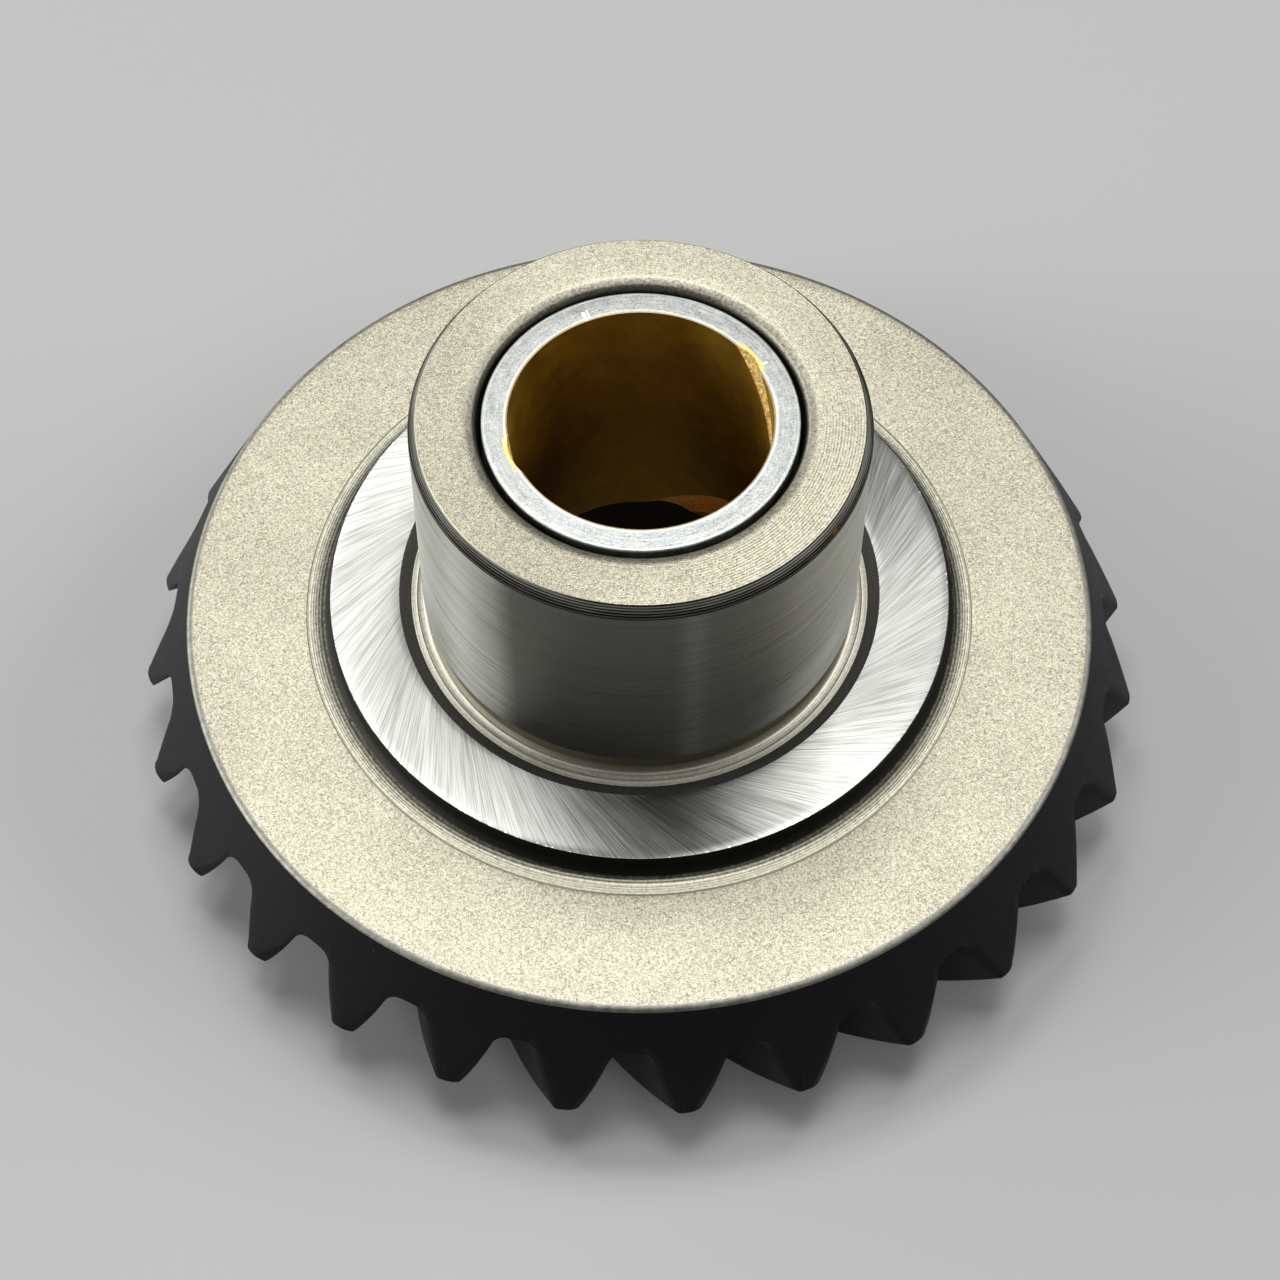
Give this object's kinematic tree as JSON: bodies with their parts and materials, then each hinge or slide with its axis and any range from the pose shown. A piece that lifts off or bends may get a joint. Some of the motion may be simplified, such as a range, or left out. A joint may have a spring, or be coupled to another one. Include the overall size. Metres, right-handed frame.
{
  "type": "forward gear",
  "caption": "Spiral bevel forward gear of an outboard gearcase, with a ground bearing hub, clutch jaws and a grooved bronze-lined bush pressed into its bore",
  "frame": {"origin": "on the gear's axis, at the level of the clutch jaws' ends, which the gear stands on", "axes": "+Z along the gear's axis from the teeth towards the bearing hub; X and Y across it, with +Y away from the picture's camera"},
  "size_m": [0.0826, 0.0825, 0.0405],
  "materials": {
    "blackened_steel": "blackened hardened gear steel, matte, on the teeth, the heel and the clutch side",
    "blasted_steel": "blasted pale steel on the rim face and the hub's end",
    "ground_steel": "bright ground steel on the bearing seat and the thrust land",
    "bronze_lining": "dull sliding-bearing bronze with milled oil grooves",
    "bush_steel": "turned bright steel back of the bush"
  },
  "bodies": {
    "root": {"gear": "blackened_steel", "bush": "bronze_lining"}
  },
  "joints": []
}
